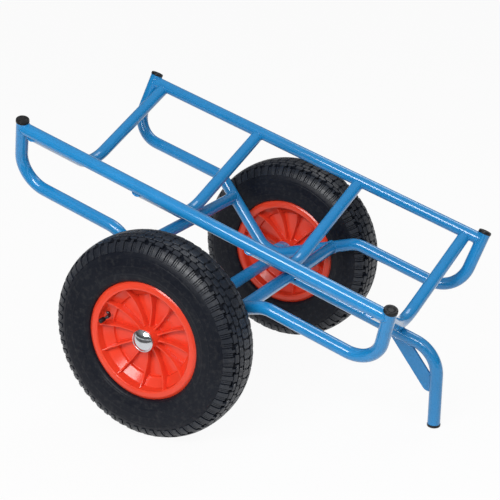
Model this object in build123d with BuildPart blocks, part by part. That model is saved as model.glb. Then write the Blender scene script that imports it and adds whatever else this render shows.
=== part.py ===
from build123d import *
import os
from math import acos, asin, atan2, cos, degrees, radians, sin, sqrt, tan

# Two-wheeled gas cylinder trolley, standing as it parks: on its two wheels and its leg.
# Millimetres and degrees. +X points from the rear posts to the parking leg, +Y to the left,
# +Z up, the floor is Z = 0 and the origin lies under the middle of the whole trolley.
# The welded frame is laid out in a deck frame of its own: its origin is on the axle, its X runs
# along the top rails and its Z stands square to them. The deck slopes down towards the leg.
# Every tube is closed at both ends, so its inside is left out.

# ---- Driving dimensions -------------------------------------------------------------------
# Frame tubes
tube_diameter = 25.0
tube_wall = 2.0
weld_gap = 0.05  # left between a tube and the one it is welded to, so that they never overlap
# Deck
deck_pitch = 17.0  # slope of the top rails when parked
bar_spacing = 247.4  # between the cradle bars
bar_middle = -7.0  # middle of the four bars along the rails, from the axle
rear_post_gap = 2.9  # between the rear bar and the rear posts
front_post_gap = 8.9
rail_spacing = 470.0  # left rail to right rail
rail_clearance = 22.5  # between the rails and the tyres
# Side loops, each bent in one plane that leans in towards the bottom
loop_lean = 14.9
run_drop = 117.0  # the straight runs below the rails
post_bend_radius = 60.0
run_bend_radius = 50.0
low_bend_radius = 61.8  # of the V that stands on the axle tube
post_stand = 1.0  # top of the posts above the rails
socket_depth = 18.0
# Cross tubes
cross_drop = 28.0  # below the loops' runs
# Cradle bars
bar_bend_radius = 90.7
bar_end_drop = 4.0  # bar ends below the rails' centrelines
# Spine and parking leg
leg_reach = 52.0  # from the front posts on to where the spine and the leg would meet
leg_bend_radius = 65.0
vent_diameter = 4.5
vent_depth = 3.0
vent_offset = 3.5  # from the front cross tube
vent_turn = 12.0  # up from the spine's right-hand side
# Gusset plate inside the leg's bend
gusset_thickness = 5.0
gusset_length = 95.0  # from the leg's corner back along the spine
gusset_drop = 87.0  # its lower edge below the spine
gusset_foot = 8.5  # of its level lower edge, out from the leg
gusset_corner_radius = 15.0
crescent_length = 0.765  # of the bend's radius, from the corner back along the spine
crescent_drop = 0.765  # of the bend's radius, from the spine down the leg
# Post caps and the leg's foot
cap_lip = 0.7  # of the flange beyond the tube
cap_height = 6.0
cap_edge_radius = 2.0
plug_length = 15.0
plug_clearance = 0.1
foot_height = 6.0
# Axle
axle_diameter = 20.0
collar_diameter = 48.0
collar_length = 15.5
running_gap = 0.5  # along the axle, beside the hubs
bore_clearance = 0.25  # around the axle in the hubs
washer_diameter = 34.0
washer_thickness = 2.0
hub_cap_diameter = 44.0
hub_cap_flange = 1.5
hub_cap_dome = 8.0
hub_cap_rim = 2.0
axle_end_in_cap = 4.0
# Wheels
wheel_diameter = 400.0
wheel_offset = 47.0  # from a rail out to the wheel's middle plane
tyre_width = 100.0
crown_width = 56.0
crown_drop = 4.0
tyre_wall = 9.0
tread_wall = 11.0
rim_width = 80.0
flange_height = 12.0  # above the tyre's seat
flange_thickness = 6.0
seat_diameter = 208.0
well_depth = 17.0  # below the tyre's seat
well_width = 18.0
well_slope = 9.0  # along the axle, from the well out to the seat
rim_wall = 5.0
disc_thickness = 6.0
hub_diameter = 44.0
hub_inner_length = 38.0  # from the wheel's middle plane towards the frame
hub_outer_length = 34.0
rib_count = 12
rib_thickness = 3.5
rib_hub_rise = 19.5  # the ribs' edges beyond the wheel's middle plane: at the hub,
rib_low_rise = 15.5  # at their lowest point, midway between the hub and the seat,
rib_seat_rise = 36.0  # and inside the tyre's seat
# Where each wheel has come to rest: the middle of the gap between two ribs that holds the
# valve, up from level; to the rear on the right wheel, to the front on the left
right_wheel_turn = 21.5
left_wheel_turn = 27.4
valve_offset = 4.5  # degrees up from the middle of its gap
valve_lean = 20.0  # of the stem, back across the gap
valve_diameter = 7.0
valve_bend_radius = 4.5
valve_reach = 39.0  # beyond the wheel's middle plane, without the cap
valve_rise = 3.0  # of the stem's outer end, away from the axle
valve_cap_diameter = 9.5
valve_cap_length = 11.0

# ---- Worked-out sizes ---------------------------------------------------------------------
tube_radius = tube_diameter / 2
tube_bore = tube_diameter - 2 * tube_wall
touch = tube_diameter + weld_gap
wheel_radius = wheel_diameter / 2
rail_height = wheel_radius + rail_clearance + tube_radius  # above the axle, square to the deck
cross_height = rail_height - run_drop - cross_drop
rail_y = rail_spacing / 2
half_track = rail_y + wheel_offset
cope_radius = tube_radius + weld_gap  # of the cutter that shapes a tube's end to its neighbour
cope_length = 4 * tube_diameter
deck_length = 3 * bar_spacing + 2 * tube_diameter + rear_post_gap + front_post_gap
deck_middle = bar_middle + (front_post_gap - rear_post_gap) / 2  # the deck is symmetric about it
half_length = deck_length / 2
half_cross = bar_spacing / 2
leg_corner = deck_middle + half_length + leg_reach
lean_cos = cos(radians(loop_lean))


def side_slope(half_span, depth, bend_radius):
    """Slope of the sides of a V of this depth, its bottom rounded to this radius."""
    reach = sqrt(half_span**2 + (bend_radius - depth) ** 2)
    return atan2(half_span, bend_radius - depth) - acos(bend_radius / reach)


# Heights in a side loop's own plane, from the rail
post_top = (tube_radius + post_stand) / lean_cos
run_level = -run_drop / lean_cos
cross_level = (cross_height - rail_height) / lean_cos
low_level = (touch - rail_height) / lean_cos
loop_rise = tan(side_slope(half_cross, cross_level - low_level, low_bend_radius))
low_corner = cross_level - half_cross * loop_rise
run_end = half_cross + (run_level - cross_level) / loop_rise

# The cradle bars bear on the cross tubes and on the spine
bar_end_height = rail_height - bar_end_drop
bar_depth = bar_end_height - cross_height - touch
bar_corner = bar_end_height - rail_y * tan(side_slope(rail_y, bar_depth, bar_bend_radius))

# Rearmost point of the side loops' bends and foremost point of the foot, from the axle
back_x = cos(radians(deck_pitch))
back_up = sin(radians(deck_pitch)) * lean_cos
bend_x = half_length - deck_middle - post_bend_radius
bend_level = run_level + post_bend_radius
rail_forward = rail_height * sin(radians(deck_pitch))
rear_reach = bend_x * back_x - bend_level * back_up - rail_forward
rear_reach += post_bend_radius * sqrt(back_x**2 + back_up**2) + tube_radius
leg_x = leg_corner * cos(radians(deck_pitch)) + cross_height * sin(radians(deck_pitch))
cap_radius = tube_radius + cap_lip
front_reach = leg_x + cap_radius
axle_x = (rear_reach - front_reach) / 2

# ---- Places -------------------------------------------------------------------------------
deck = Plane(
    origin=(axle_x, 0, wheel_radius),
    x_dir=(cos(radians(deck_pitch)), 0, -sin(radians(deck_pitch))),
    z_dir=(sin(radians(deck_pitch)), 0, cos(radians(deck_pitch))),
)


def on_deck(plane):
    """A plane given in the deck frame, placed in the model."""
    return Plane(deck.location * plane.location)


def loop_plane(side):
    """The leaning plane of one side loop: X along the rail, Y up, origin mid-rail."""
    lean = radians(loop_lean)
    return on_deck(
        Plane(
            origin=(deck_middle, side * rail_y, rail_height),
            x_dir=(1, 0, 0),
            z_dir=(0, -cos(lean), side * sin(lean)),
        )
    )


def post_plane(side, end):
    """The top of one post: Z along the post, out of its open end."""
    leaning = loop_plane(side)
    top = leaning.from_local_coords(Vector(end * half_length, post_top, 0))
    return Plane(origin=top, x_dir=leaning.x_dir, z_dir=leaning.y_dir)


def slant_plane(side, end):
    """The middle of one slanting stretch of a side loop: Z along the tube."""
    leaning = loop_plane(side)
    joint = leaning.from_local_coords(Vector(end * half_cross, cross_level, 0))
    level = leaning.from_local_coords(Vector(end * run_end, run_level, 0))
    return Plane(origin=joint, z_dir=level - joint)


def wheel_plane(side, turn=90):
    """A wheel's section: X outwards along the axle, Y out from the axle, this far up from level."""
    return Plane(
        origin=(axle_x, side * half_track, wheel_radius),
        x_dir=(0, side, 0),
        z_dir=(side * sin(radians(turn)), 0, -cos(radians(turn))),
    )


def axle_plane(side, outwards):
    """Square to the axle, this far outwards from a wheel's middle plane."""
    return Plane(
        origin=(axle_x, side * (half_track + outwards), wheel_radius),
        x_dir=(-side, 0, 0),
        z_dir=(0, side, 0),
    )


def save(builder, name):
    builder.part.label = name
    export_step(builder.part, f"parts/{name}.step")
    print(f"{name}: {builder.part.volume / 1000:.1f} cm3")


os.makedirs("parts", exist_ok=True)
axle_line = Axis((axle_x, 0, wheel_radius), (0, 1, 0))
sides = {"left": 1, "right": -1}
ends = {"rear": -1, "front": 1}

# ---- Side loops: post, run, slanting stretches under the deck, run, post --------------------
for side_name, side in sides.items():
    with BuildPart() as side_loop:
        with BuildLine(loop_plane(side)) as loop_path:
            FilletPolyline(
                (-half_length, post_top),
                (-half_length, run_level),
                (-run_end, run_level),
                (0, low_corner),
                (run_end, run_level),
                (half_length, run_level),
                (half_length, post_top),
                radius=[
                    post_bend_radius,
                    run_bend_radius,
                    low_bend_radius,
                    run_bend_radius,
                    post_bend_radius,
                ],
            )
        with BuildSketch(Plane(loop_path.line @ 0, z_dir=loop_path.line % 0)):
            Circle(tube_radius)
        sweep()
        # The open post tops take the caps' plugs
        for end in ends.values():
            with BuildSketch(post_plane(side, end)):
                Circle(tube_bore / 2)
            extrude(amount=-socket_depth, mode=Mode.SUBTRACT)
    save(side_loop, f"{side_name}_side_loop")

# ---- Top rails, fitted between the posts ------------------------------------------------------
rail_middles = {}
for side_name, side in sides.items():
    rail_middle = Plane((deck_middle, side * rail_y, rail_height), z_dir=(1, 0, 0))
    rail_middles[side_name] = on_deck(rail_middle)
    with BuildPart() as top_rail:
        with Locations(rail_middles[side_name]):
            Cylinder(tube_radius, deck_length)
        for end in ends.values():
            with Locations(post_plane(side, end)):
                Cylinder(cope_radius, cope_length, mode=Mode.SUBTRACT)
    save(top_rail, f"{side_name}_top_rail")

# ---- Cradle bars: four shallow Vs hung between the rails -------------------------------------
bar_names = ["rear", "rear_middle", "front_middle", "front"]
for place, bar_name in enumerate(bar_names):
    bar_x = bar_middle + (place - 1.5) * bar_spacing
    with BuildPart() as cradle_bar:
        with BuildLine(on_deck(Plane((bar_x, 0, 0), x_dir=(0, 1, 0), z_dir=(1, 0, 0)))) as bar_path:
            FilletPolyline(
                (-rail_y, bar_end_height),
                (0, bar_corner),
                (rail_y, bar_end_height),
                radius=bar_bend_radius,
            )
        with BuildSketch(Plane(bar_path.line @ 0, z_dir=bar_path.line % 0)):
            Circle(tube_radius)
        sweep()
        for rail_middle in rail_middles.values():
            with Locations(rail_middle):
                Cylinder(cope_radius, deck_length, mode=Mode.SUBTRACT)
    save(cradle_bar, f"{bar_name}_cradle_bar")

# ---- Cross tubes between the loops' slanting stretches ----------------------------------------
loop_cross_y = rail_y - (rail_height - cross_height) * tan(radians(loop_lean))
cross_middles = {}
for end_name, end in ends.items():
    cross_middle = Plane((deck_middle + end * half_cross, 0, cross_height), z_dir=(0, 1, 0))
    cross_middles[end_name] = on_deck(cross_middle)
    with BuildPart() as cross_tube:
        with Locations(cross_middles[end_name]):
            Cylinder(tube_radius, 2 * loop_cross_y)
        for side in sides.values():
            with Locations(slant_plane(side, end)):
                Cylinder(cope_radius, cope_length, mode=Mode.SUBTRACT)
    save(cross_tube, f"{end_name}_cross_tube")

# ---- Spine and parking leg: one bent tube, its leg upright when parked -------------------------
spine_start = deck.from_local_coords(Vector(deck_middle + half_cross, 0, cross_height))
leg_top = deck.from_local_coords(Vector(leg_corner, 0, cross_height))
vent_x = deck_middle + half_cross + tube_radius + vent_offset
vent_side = radians(vent_turn)
with BuildPart() as parking_leg:
    with BuildLine(Plane.XZ) as leg_path:
        FilletPolyline(
            (spine_start.X, spine_start.Z),
            (leg_top.X, leg_top.Z),
            (leg_top.X, foot_height),
            radius=leg_bend_radius,
        )
    with BuildSketch(Plane(leg_path.line @ 0, z_dir=leg_path.line % 0)):
        Circle(tube_radius)
    sweep()
    with Locations(cross_middles["front"]):
        Cylinder(cope_radius, cope_length, mode=Mode.SUBTRACT)
    with BuildSketch(Plane.XY.offset(foot_height)):
        with Locations((leg_top.X, 0)):
            Circle(tube_bore / 2)
    extrude(amount=socket_depth, mode=Mode.SUBTRACT)
    # Vent hole beside the front cross tube, on the right-hand side
    vent_out = (0, -cos(vent_side), sin(vent_side))
    vent_mouth = Plane(
        origin=(
            vent_x,
            tube_radius * vent_out[1],
            cross_height + tube_radius * vent_out[2],
        ),
        z_dir=vent_out,
    )
    with BuildSketch(on_deck(vent_mouth)):
        Circle(vent_diameter / 2)
    extrude(amount=vent_depth, both=True, mode=Mode.SUBTRACT)
save(parking_leg, "parking_leg")


def spine_point(x, drop):
    """X and Z in the model of a point below the spine, given along the deck."""
    point = deck.from_local_coords(Vector(x, 0, cross_height - drop))
    return (point.X, point.Z)


gusset_rear = leg_corner - gusset_length
gusset_tip = spine_point(gusset_rear, 0)
gusset_heel = spine_point(gusset_rear, tube_radius + 2)
gusset_low = spine_point(leg_corner, gusset_drop)[1]
gusset_corner = (leg_top.X - tube_radius - gusset_foot, gusset_low)
crescent_rear = leg_corner - crescent_length * leg_bend_radius
crescent_top = spine_point(crescent_rear, 0)
crescent_high = spine_point(crescent_rear, tube_radius)
crescent_low = spine_point(leg_corner, crescent_drop * leg_bend_radius)
with BuildPart() as leg_gusset:
    with BuildSketch(Plane.XZ):
        with BuildLine():
            Polyline(
                gusset_tip,
                gusset_heel,
                gusset_corner,
                (leg_top.X, gusset_low),
                (leg_top.X, crescent_low[1]),
                (leg_top.X - tube_radius, crescent_low[1]),
                crescent_high,
                crescent_top,
                close=True,
            )
        make_face()
        fillet(vertices().sort_by_distance(gusset_corner)[0], radius=gusset_corner_radius)
    extrude(amount=gusset_thickness / 2, both=True)
    add(parking_leg.part, mode=Mode.SUBTRACT)
save(leg_gusset, "leg_gusset")

# ---- Foot and post caps: round plastic plugs with a flange ---------------------------------------
plug_radius = tube_bore / 2 - plug_clearance
with BuildPart() as leg_foot:
    with BuildSketch(Plane.XY):
        with Locations((leg_top.X, 0)):
            Circle(cap_radius)
    extrude(amount=foot_height)
    fillet(leg_foot.edges().group_by(Axis.Z)[0], radius=cap_edge_radius)
    with BuildSketch(Plane.XY.offset(foot_height)):
        with Locations((leg_top.X, 0)):
            Circle(plug_radius)
    extrude(amount=plug_length)
save(leg_foot, "leg_foot")

for side_name, side in sides.items():
    for end_name, end in ends.items():
        cap_seat = post_plane(side, end)
        with BuildPart() as post_cap:
            with BuildSketch(cap_seat):
                Circle(cap_radius)
            extrude(amount=cap_height)
            fillet(
                post_cap.edges().group_by(Axis(cap_seat.origin, cap_seat.z_dir))[-1],
                radius=cap_edge_radius,
            )
            with BuildSketch(cap_seat):
                Circle(plug_radius)
            extrude(amount=-plug_length)
        save(post_cap, f"{end_name}_{side_name}_post_cap")

# ---- Axle: a round shaft through a tube that carries the side loops ------------------------------
hub_inner_face = half_track - hub_inner_length
axle_tube_length = 2 * (hub_inner_face - running_gap - collar_length)
washer_face = hub_outer_length + running_gap
cap_face = washer_face + washer_thickness
half_shaft = half_track + cap_face + axle_end_in_cap
with BuildPart() as axle_shaft:
    with Locations(Plane((axle_x, 0, wheel_radius), z_dir=(0, 1, 0))):
        Cylinder(axle_diameter / 2, 2 * half_shaft)
save(axle_shaft, "axle_shaft")

with BuildPart() as axle_tube:
    with Locations(Plane((axle_x, 0, wheel_radius), z_dir=(0, 1, 0))):
        Cylinder(tube_radius, axle_tube_length)
        Cylinder(axle_diameter / 2, axle_tube_length, mode=Mode.SUBTRACT)
save(axle_tube, "axle_tube")

for side_name, side in sides.items():
    with BuildPart() as axle_collar:
        with BuildSketch(axle_plane(side, -hub_inner_length - running_gap)):
            Circle(collar_diameter / 2)
            Circle(axle_diameter / 2, mode=Mode.SUBTRACT)
        extrude(amount=-collar_length)
    save(axle_collar, f"{side_name}_axle_collar")

    with BuildPart() as hub_washer:
        with BuildSketch(axle_plane(side, washer_face)):
            Circle(washer_diameter / 2)
            Circle(axle_diameter / 2, mode=Mode.SUBTRACT)
        extrude(amount=washer_thickness)
    save(hub_washer, f"{side_name}_hub_washer")

    # Push-on cap: a thin flange and a dome over the end of the shaft
    dome_edge = hub_cap_diameter / 2 - hub_cap_rim
    dome_face = cap_face + hub_cap_flange
    dome_ball = (dome_edge**2 + hub_cap_dome**2) / (2 * hub_cap_dome)
    dome_turn = asin(dome_edge / dome_ball) / 2
    dome_centre = dome_face + hub_cap_dome - dome_ball
    dome_middle = (dome_centre + dome_ball * cos(dome_turn), dome_ball * sin(dome_turn))
    with BuildPart() as hub_cap:
        with BuildSketch(wheel_plane(side)):
            with BuildLine():
                Polyline(
                    (dome_face + hub_cap_dome, 0),
                    (cap_face + axle_end_in_cap, 0),
                    (cap_face + axle_end_in_cap, axle_diameter / 2),
                    (cap_face, axle_diameter / 2),
                    (cap_face, hub_cap_diameter / 2),
                    (dome_face, hub_cap_diameter / 2),
                    (dome_face, dome_edge),
                )
                ThreePointArc((dome_face, dome_edge), dome_middle, (dome_face + hub_cap_dome, 0))
            make_face()
        revolve(axis=axle_line)
    save(hub_cap, f"{side_name}_hub_cap")

# ---- Wheels ----------------------------------------------------------------------------------------
seat_radius = seat_diameter / 2
flange_radius = seat_radius + flange_height
well_radius = seat_radius - well_depth
hub_radius = hub_diameter / 2
half_rim = rim_width / 2
seat_edge = half_rim - flange_thickness
half_well = well_width / 2
slope_edge = half_well + well_slope
half_disc = disc_thickness / 2
half_crown = crown_width / 2
crown_radius = wheel_radius - crown_drop
belly_radius = (crown_radius + flange_radius) / 2
half_tyre = tyre_width / 2
bead_edge = seat_edge - 0.8 * tyre_wall
bead_top = flange_radius + 1
sidewall_foot = flange_radius + 2
inner_bead_top = bead_top - 4
inner_crown = wheel_radius - tread_wall - crown_drop
bore_radius = axle_diameter / 2 + bore_clearance
# Inside of the rim's barrel, this far below its tyre side
wall_turn = tan(atan2(well_depth, well_slope) / 2)
well_inside = well_radius - rim_wall
seat_inside = seat_radius - rim_wall
well_corner = half_well + rim_wall * wall_turn
seat_corner = slope_edge + rim_wall * wall_turn
# The ribs end within the barrel's wall and within the hub
rib_sink = rim_wall / 2
rib_inner = hub_radius - rib_sink
rib_outer = seat_inside + rib_sink
rib_well_corner = half_well + rib_sink * wall_turn
rib_seat_corner = slope_edge + rib_sink * wall_turn

for side_name, side in sides.items():
    # Tyre: crown, sidewalls and beads in one section, hollow inside
    with BuildPart() as tyre:
        with BuildSketch(wheel_plane(side)):
            with BuildLine():
                ThreePointArc(
                    (-half_crown, crown_radius), (0, wheel_radius), (half_crown, crown_radius)
                )
                ThreePointArc(
                    (-half_crown + 5, inner_crown),
                    (0, inner_crown + crown_drop),
                    (half_crown - 5, inner_crown),
                )
                for hand in (-1, 1):
                    ThreePointArc(
                        (hand * half_crown, crown_radius),
                        (hand * half_tyre, belly_radius),
                        (hand * (seat_edge + 4), sidewall_foot),
                    )
                    Polyline(
                        (hand * (seat_edge + 4), sidewall_foot),
                        (hand * seat_edge, bead_top),
                        (hand * seat_edge, seat_radius),
                        (hand * bead_edge, seat_radius),
                        (hand * bead_edge, inner_bead_top),
                    )
                    ThreePointArc(
                        (hand * bead_edge, inner_bead_top),
                        (hand * (half_tyre - tyre_wall), belly_radius),
                        (hand * (half_crown - 5), inner_crown),
                    )
            make_face()
        revolve(axis=axle_line)
    save(tyre, f"{side_name}_tyre")

    # Rim: barrel with two flanges, disc, hub and thin radial ribs across both faces of the disc
    wheel_turn = {"right": right_wheel_turn, "left": left_wheel_turn}[side_name]
    with BuildPart() as rim:
        with BuildSketch(wheel_plane(side)):
            with BuildLine():
                Polyline(
                    (-hub_inner_length, bore_radius),
                    (hub_outer_length, bore_radius),
                    (hub_outer_length, hub_radius),
                    (half_disc, hub_radius + rim_wall / 2),
                    (half_disc, well_inside),
                    (well_corner, well_inside),
                    (seat_corner, seat_inside),
                    (half_rim, seat_inside),
                    (half_rim, flange_radius),
                    (seat_edge, flange_radius),
                    (seat_edge, seat_radius),
                    (slope_edge, seat_radius),
                    (half_well, well_radius),
                    (-half_well, well_radius),
                    (-slope_edge, seat_radius),
                    (-seat_edge, seat_radius),
                    (-seat_edge, flange_radius),
                    (-half_rim, flange_radius),
                    (-half_rim, seat_inside),
                    (-seat_corner, seat_inside),
                    (-well_corner, well_inside),
                    (-half_disc, well_inside),
                    (-half_disc, hub_radius + rim_wall / 2),
                    (-hub_inner_length, hub_radius),
                    close=True,
                )
            make_face()
        revolve(axis=axle_line)
        for rib in range(rib_count):
            rib_turn = wheel_turn + (rib + 0.5) * 360 / rib_count
            with BuildSketch(wheel_plane(side, rib_turn)):
                with BuildLine():
                    for hand in (-1, 1):
                        ThreePointArc(
                            (hand * rib_hub_rise, rib_inner),
                            (hand * rib_low_rise, (rib_inner + rib_outer) / 2 - rim_wall),
                            (hand * rib_seat_rise, rib_outer),
                        )
                        Polyline(
                            (hand * rib_seat_rise, rib_outer),
                            (hand * rib_seat_corner, rib_outer),
                            (hand * rib_well_corner, well_inside + rib_sink),
                            (0, well_inside + rib_sink),
                        )
                    Line((-rib_hub_rise, rib_inner), (rib_hub_rise, rib_inner))
                make_face()
            extrude(amount=rib_thickness / 2, both=True)
    save(rim, f"{side_name}_rim")

    # Valve: a bent stem that hooks out of the barrel's steep wall and leans across the gap
    upright = wheel_plane(side, wheel_turn + valve_offset)
    stem_plane = Plane(upright.location * Rotation(0, -valve_lean, 0))
    stem_base = (seat_corner + valve_diameter / 2, seat_inside - 0.65 * valve_diameter)
    stem_corner = (well_corner + 0.8 * valve_diameter, well_inside + 0.4 * valve_diameter)
    with BuildPart() as valve_stem:
        with BuildLine(stem_plane) as stem_path:
            FilletPolyline(
                stem_base,
                stem_corner,
                (valve_reach, stem_corner[1] + valve_rise),
                radius=valve_bend_radius,
            )
        with BuildSketch(Plane(stem_path.line @ 0, z_dir=stem_path.line % 0)):
            Circle(valve_diameter / 2)
        sweep()
        with BuildSketch(Plane(stem_path.line @ 1, z_dir=stem_path.line % 1)):
            Circle(valve_cap_diameter / 2)
        extrude(amount=valve_cap_length)
    save(valve_stem, f"{side_name}_valve_stem")

print(f"axle at X {axle_x:.3f}, Z {wheel_radius:.3f}; leg at X {leg_top.X:.3f}")
print(f"rails {rail_height:.1f} and cross tubes {cross_height:.1f} above the axle, square to the deck")
print(f"loops slope {degrees(atan2(loop_rise, 1)):.2f} degrees beside the axle")
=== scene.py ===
# %% [markdown]
# # A gas cylinder trolley, dressed in Blender
# The trolley's frame is bent steel tube, welded and painted blue. It stands on two air-filled
# wheels and one upright leg. The measured CAD model comes in first and is never moved: each
# tube keeps its CAD shape and gets a finish, and each piece that needs finer detail, such as a
# tyre or a rim, is modelled here at the place its CAD node has.

from math import asin, atan2, cos, degrees, pi, radians, sin, sqrt, tan

import bmesh
import bpy
from mathutils import Matrix, Quaternion, Vector


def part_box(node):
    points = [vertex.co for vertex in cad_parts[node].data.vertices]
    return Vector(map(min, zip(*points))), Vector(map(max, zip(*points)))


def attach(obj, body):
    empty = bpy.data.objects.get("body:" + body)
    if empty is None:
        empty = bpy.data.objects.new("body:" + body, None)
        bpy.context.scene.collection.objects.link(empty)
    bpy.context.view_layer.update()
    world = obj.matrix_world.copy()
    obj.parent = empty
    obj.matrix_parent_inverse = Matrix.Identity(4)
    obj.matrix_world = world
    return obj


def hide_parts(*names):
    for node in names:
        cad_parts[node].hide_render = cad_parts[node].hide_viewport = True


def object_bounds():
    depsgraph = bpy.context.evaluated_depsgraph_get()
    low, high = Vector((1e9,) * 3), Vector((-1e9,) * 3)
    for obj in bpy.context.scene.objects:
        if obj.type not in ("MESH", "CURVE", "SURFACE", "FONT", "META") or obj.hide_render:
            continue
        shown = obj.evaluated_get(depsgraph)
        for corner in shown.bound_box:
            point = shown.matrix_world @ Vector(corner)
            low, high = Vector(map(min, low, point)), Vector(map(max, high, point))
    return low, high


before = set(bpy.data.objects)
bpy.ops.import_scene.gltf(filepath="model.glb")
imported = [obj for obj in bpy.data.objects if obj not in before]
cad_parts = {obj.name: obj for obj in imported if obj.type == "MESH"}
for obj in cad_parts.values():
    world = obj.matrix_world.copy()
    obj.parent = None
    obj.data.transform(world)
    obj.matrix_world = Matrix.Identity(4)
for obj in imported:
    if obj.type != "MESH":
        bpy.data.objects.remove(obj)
cad_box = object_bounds()
middle = (cad_box[0] + cad_box[1]) / 2
print("CAD box, metres:", [round(x, 3) for x in cad_box[1] - cad_box[0]])
scene = bpy.context.scene


def add_object(name, data):
    """A new object, in the scene."""
    new = bpy.data.objects.new(name, data)
    scene.collection.objects.link(new)
    return new


# %% [markdown]
# ## The camera
# A long lens stands well back, so that the far wheel looks nearly as large as the near one.
# A camera can be aimed by typing angles, or by turning it towards a point with to_track_quat.
# The point is easier to check, because it lies on the object.

# %% Aim the camera
view_azimuth = radians(28.41)
view_elevation = radians(19.57)
view_roll = radians(0.53)
view_distance = 2.72
aim = middle + Vector((-0.009, 0, 0.005))
level_share = cos(view_elevation)
back = Vector(
    (sin(view_azimuth) * level_share, -cos(view_azimuth) * level_share, sin(view_elevation))
)
camera = add_object("camera", bpy.data.cameras.new("camera"))
camera.data.lens = 98.2
camera.data.sensor_width = 36
camera.location = aim + back * view_distance
camera.rotation_mode = "QUATERNION"
camera.rotation_quaternion = (-back).to_track_quat("-Z", "Y") @ Quaternion((0, 0, 1), view_roll)
scene.camera = camera
print("camera at", [round(x, 3) for x in camera.location])

# %% [markdown]
# ## Small tools for materials
# A material is a graph of nodes. Typing each link by hand is long, so one function adds a node
# and joins its inputs by name: a number sets a socket, and a socket of another node links to it.


# %% Nodes by name
def feed(material, node, **inputs):
    """Sets or links a node's inputs: _ stands for a space, and i0, i1 for a place."""
    for key, value in inputs.items():
        numbered = key[0] == "i" and key[1:].isdigit()
        socket = node.inputs[int(key[1:]) if numbered else key.replace("_", " ")]
        if isinstance(value, bpy.types.NodeSocket):
            material.node_tree.links.new(value, socket)
        else:
            socket.default_value = value


def add_node(material, kind, settings=None, **inputs):
    """A shader node of a material or the world, with its settings and inputs."""
    node = material.node_tree.nodes.new("ShaderNode" + kind)
    for key, value in (settings or {}).items():
        setattr(node, key, value)
    feed(material, node, **inputs)
    return node


def empty_material(name):
    material = bpy.data.materials.new(name)
    material.use_nodes = True
    material.node_tree.nodes.clear()
    return material


def new_material(name):
    """A material with only its shader and output, ready for its nodes."""
    material = empty_material(name)
    shader = add_node(material, "BsdfPrincipled")
    add_node(material, "OutputMaterial", Surface=shader.outputs[0])
    return material, shader


def patches(material, scale, detail, roughness=0.6):
    """Noise in the piece's own coordinates: 0 to 1, in patches of about 1 / scale metres."""
    place = add_node(material, "TexCoord").outputs["Object"]
    return add_node(
        material, "TexNoise",
        Vector=place, Scale=scale, Detail=detail, Roughness=roughness,
    ).outputs["Fac"]


def between(material, factor, low, high, start=0.3, end=0.7):
    """Maps a factor to a number between low and high."""
    return add_node(
        material, "MapRange", Value=factor,
        From_Min=start, From_Max=end, To_Min=low, To_Max=high,
    ).outputs[0]


def blend_colours(material, factor, *colours):
    first, second = [c if isinstance(c, bpy.types.NodeSocket) else (*c, 1) for c in colours]
    settings = {"data_type": "RGBA"}
    return add_node(material, "Mix", settings, i0=factor, i6=first, i7=second).outputs[2]


def bump(material, height, strength, distance, under=None):
    inputs = {"Height": height, "Strength": strength, "Distance": distance}
    if under is not None:
        inputs["Normal"] = under
    return add_node(material, "Bump", **inputs).outputs[0]


def base_finish(material, shader, cloud, colours, grain, roughness):
    """A colour that drifts between two with the cloud, and a gloss that varies with the grain."""
    colour = blend_colours(material, between(material, cloud, 0.0, 1.0), *colours)
    feed(material, shader, Base_Color=colour, Roughness=between(material, grain, *roughness))


print("material tools ready")

# %% [markdown]
# ## The paint
# The frame is sprayed in one gloss blue. Wet paint flows into a film with a faint orange-peel
# swell, thins over high spots, and picks up fine dust in its clear surface. A flat colour would
# look like paper, so the colour drifts a little, the gloss changes in patches, and two sizes of
# bump make the swell. A coat layer gives the sharp lines of light along each tube.


# %% Gloss blue paint
def gloss_paint():
    material, shader = new_material("gloss_blue_paint")
    drift = patches(material, 9, 3)
    fine = patches(material, 260, 3)
    swell = patches(material, 160, 2)
    blues = (0.0080, 0.205, 0.49), (0.0125, 0.238, 0.555)
    base_finish(material, shader, drift, blues, fine, (0.24, 0.34))
    feed(material, shader, Coat_Weight=0.9, Coat_Roughness=0.05, Coat_IOR=1.5)
    coat = bump(material, swell, 0.01, 0.0001, bump(material, drift, 0.03, 0.002))
    feed(material, shader, Specular_IOR_Level=0.2, Normal=coat, Coat_Normal=coat)
    return material


paint = gloss_paint()
endings = "_side_loop", "_top_rail", "_cradle_bar", "_cross_tube"
painted_nodes = [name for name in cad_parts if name.endswith(endings)]
painted_nodes += ["parking_leg", "leg_gusset", "axle_tube"]
painted_nodes += [f"{side}_axle_collar" for side in ("left", "right")]


def refinish(node, material):
    """Gives a CAD node a finish in place of the plain one it came with."""
    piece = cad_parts[node]
    if not piece.material_slots:
        piece.data.materials.append(None)
    for place in piece.material_slots:
        place.material = material
    return piece


for name in painted_nodes:
    refinish(name, paint)
print("painted:", len(painted_nodes), "pieces")

# %% [markdown]
# ## Places on the wheels
# Both wheels are the same part, turned round. So each wheel piece is modelled once, about its
# own centre, with the axle along Y and the outside towards -Y, and then placed twice. The valve
# says how far each wheel has turned, because the CAD has it in the right place.


# %% Wheel places
def wheel_centre(side):
    low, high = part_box(f"{side}_tyre")
    return (low + high) / 2


def valve_angle(side):
    """Where the valve stands about the axle, seen from the outside of that wheel."""
    centre = wheel_centre(side)
    points = [v.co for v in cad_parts[f"{side}_valve_stem"].data.vertices]
    mean = sum(points, Vector()) / len(points) - centre
    outwards = 1 if side == "left" else -1
    return atan2(mean.z, -outwards * mean.x)


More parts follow.
